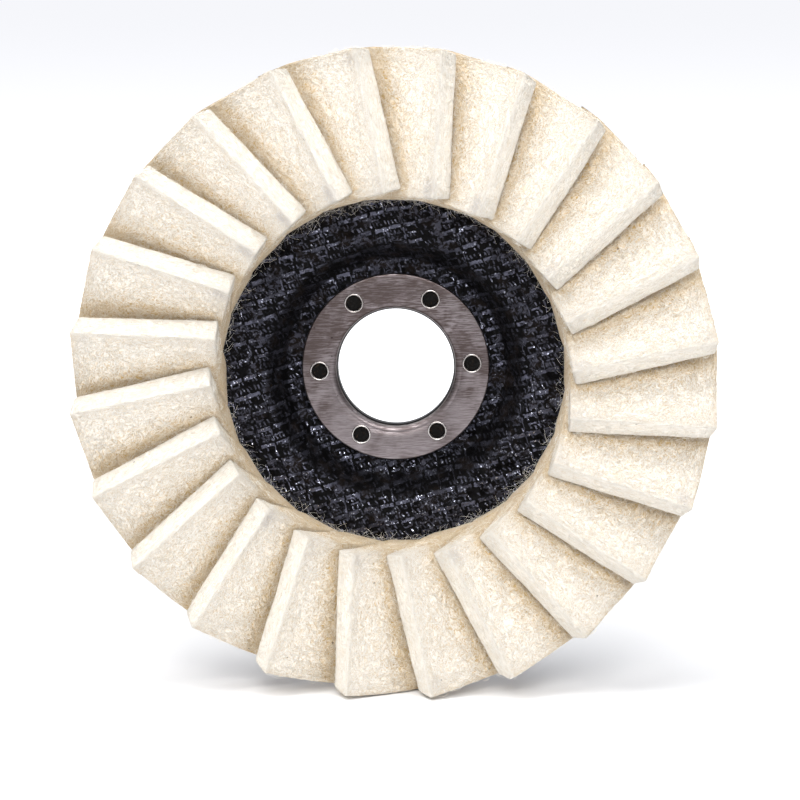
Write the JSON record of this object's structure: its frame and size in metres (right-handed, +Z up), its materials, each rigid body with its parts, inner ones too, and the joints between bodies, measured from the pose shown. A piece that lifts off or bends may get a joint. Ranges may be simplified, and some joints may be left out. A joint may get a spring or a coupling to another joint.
{
  "type": "felt flap polishing wheel",
  "caption": "Wool felt flap polishing wheel on a dished black glass-cloth backing plate with a steel-lined hub hole, for a hand grinder.",
  "frame": {"origin": "on the wheel's axis, half way through the clamped hub", "axes": "+Y along the wheel's axis towards the drive side, working face towards -Y, +Z up as the wheel stands"},
  "size_m": [0.122, 0.0223, 0.122],
  "materials": {
    "felt": "matte",
    "hub_steel": "satin",
    "glass_cloth": "gloss",
    "core_resin": "matte",
    "adhesive": "gloss"
  },
  "bodies": {
    "root": {"front_hub_ring": "hub_steel", "back_hub_ring": "hub_steel", "front_glass_ply": "glass_cloth", "backing_core": "core_resin", "back_glass_ply": "glass_cloth", "adhesive_bed": "adhesive", "flap_01": "felt", "flap_02": "felt", "flap_03": "felt", "flap_04": "felt", "flap_05": "felt", "flap_06": "felt", "flap_07": "felt", "flap_08": "felt", "flap_09": "felt", "flap_10": "felt", "flap_11": "felt", "flap_12": "felt", "flap_13": "felt", "flap_14": "felt", "flap_15": "felt", "flap_16": "felt", "flap_17": "felt", "flap_18": "felt", "flap_19": "felt", "flap_20": "felt", "flap_21": "felt", "flap_22": "felt", "flap_23": "felt", "flap_24": "felt"}
  },
  "joints": []
}
